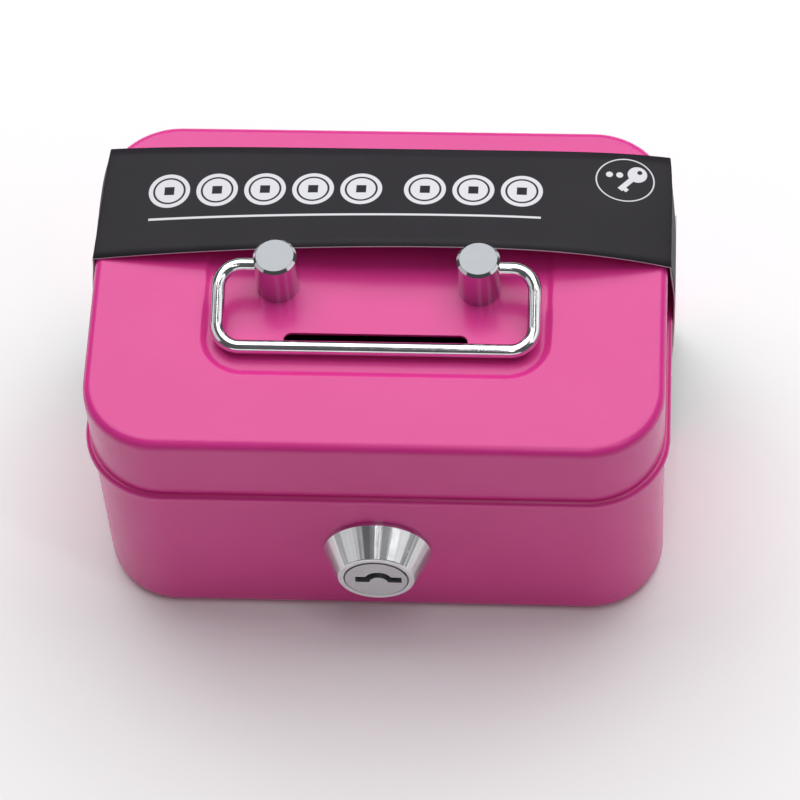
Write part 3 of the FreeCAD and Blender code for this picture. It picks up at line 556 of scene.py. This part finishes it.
def lower_sleeve():
    """Sides and underside of the sleeve: a flat strip whose ends are extruded up."""
    rise, lowest = SIDE_RUN[-1]
    straight = lowest - UNDER_FOLD
    turns = [math.radians(15 * step) for step in range(1, 6)]
    quarter = [(rise - rise * math.cos(turn), straight + UNDER_FOLD * math.sin(turn))
               for turn in turns]
    outline = [*quarter, *reversed(SIDE_RUN)]
    middle = (SLEEVE_FRONT + SLEEVE_BACK) / 2
    mesh = bmesh.new()
    bmesh.ops.create_grid(mesh, x_segments=24, y_segments=12, size=0.5)
    span = SLEEVE_BACK - SLEEVE_FRONT
    bmesh.ops.scale(mesh, vec=(2 * straight * MM, span, 1), verts=mesh.verts)
    bmesh.ops.translate(mesh, vec=(0, middle, 0), verts=mesh.verts)
    for sign in (-1, 1):
        end = sign * straight * MM
        rim = [edge for edge in mesh.edges
               if all(abs(vert.co.x - end) < 0.01 * MM for vert in edge.verts)]
        for height, side in outline:
            made = bmesh.ops.extrude_edge_only(mesh, edges=rim)["geom"]
            rim = [item for item in made if isinstance(item, bmesh.types.BMEdge)]
            for vert in {vert for edge in rim for vert in edge.verts}:
                vert.co.x = sign * side * MM
                vert.co.z = height * MM
    bmesh.ops.recalc_face_normals(mesh, faces=mesh.faces)
    if sum(face.normal.z for face in mesh.faces) > 0:
        bmesh.ops.reverse_faces(mesh, faces=mesh.faces)
    finish_sheet(mesh, "card_sleeve_bottom", "card_sleeve_lower", "base")


upper_sleeve()
lower_sleeve()


# ---- table, lights and camera -------------------------------------------------------------

def table():
    mesh = bmesh.new()
    bmesh.ops.create_grid(mesh, x_segments=4, y_segments=4, size=4.0)
    data = bpy.data.meshes.new("table")
    mesh.to_mesh(data)
    mesh.free()
    floor = bpy.data.objects.new("table", data)
    bpy.context.scene.collection.objects.link(floor)
    finish = Finish("white_table", Specular_IOR_Level=0.1)
    shade = finish.noise(0.5)
    finish.set(
        Base_Color=finish.mix(shade, (0.95, 0.95, 0.95), (0.97, 0.97, 0.97)),
        Roughness=0.7 + shade * 0.1,
    )
    data.materials.append(finish.material)
    return floor


def panel_light(name, place, aim, width, depth, power, only=None):
    """Soft rectangular light; with a collection given, it lights nothing else."""
    light = bpy.data.lights.new(name, "AREA")
    light.shape = "RECTANGLE"
    light.size = width
    light.size_y = depth
    light.energy = power
    lamp = bpy.data.objects.new(name, light)
    bpy.context.scene.collection.objects.link(lamp)
    lamp.location = place
    lamp.rotation_euler = (Vector(aim) - Vector(place)).to_track_quat("-Z", "Y").to_euler()
    if only:
        lamp.light_linking.receiver_collection = only


EYE = (0.06096, -0.48857, 0.79884)
LOOK, LEAN = (-0.06345, 0.53053, -0.84529), (-0.01797, 0.84625, 0.53249)


def camera():
    """Long lens from the front and above; the box stands very slightly turned and tilted."""
    view = bpy.data.cameras.new("view")
    view.lens = 186.78
    view.sensor_width = 36.0
    view.clip_start = 0.05
    view.clip_end = 20.0
    eye = bpy.data.objects.new("view", view)
    bpy.context.scene.collection.objects.link(eye)
    forward = Vector(LOOK).normalized()
    right = forward.cross(Vector(LEAN)).normalized()
    up = right.cross(forward)
    turn = Matrix((right, up, -forward)).transposed()
    eye.matrix_world = Matrix.Translation(EYE) @ turn.to_4x4()
    bpy.context.scene.camera = eye


floor_only = bpy.data.collections.new("floor_only")
floor_only.objects.link(table())
plated = bpy.data.collections.new("plated")
for name in ("handle_bail", "handle_post_left", "handle_post_right", "lock_housing", "lock_plug"):
    plated.objects.link(nodes[name])
# One large soft light overhead, two strips that streak the metal, a wash for the floor, and
# three white cards that only the plated parts mirror.
MIDDLE, BOX_MIDDLE = (0.0, 0.0, 0.0), (0.0, 0.0, 0.06)
panel_light("overhead", (0.0, 0.6, 1.15), (0.0, 0.05, 0.0), 1.9, 1.3, 19.5)
panel_light("strip_middle", (0.03, -0.45, 1.25), MIDDLE, 0.05, 0.9, 1.0)
panel_light("strip_right", (0.45, -0.3, 1.1), MIDDLE, 0.05, 0.9, 1.0)
panel_light("floor_wash", (0.0, 0.0, 2.0), MIDDLE, 3.0, 3.0, 8.0, floor_only)
panel_light("card_left", (-0.9, -0.2, 0.5), BOX_MIDDLE, 0.8, 0.8, 1.3, plated)
panel_light("card_right", (0.9, -0.1, 0.6), BOX_MIDDLE, 0.8, 0.8, 2.0, plated)
panel_light("card_front", (0.0, -1.2, 0.25), (0.0, 0.0, 0.03), 1.2, 0.3, 1.2, plated)
world = bpy.data.worlds.new("studio")
world.use_nodes = True
sky = world.node_tree.nodes["Background"]
sky.inputs["Color"].default_value = (0.93, 0.95, 1.0, 1.0)
sky.inputs["Strength"].default_value = 0.10
bpy.context.scene.world = world
bpy.context.scene.view_settings.view_transform = "Standard"
camera()
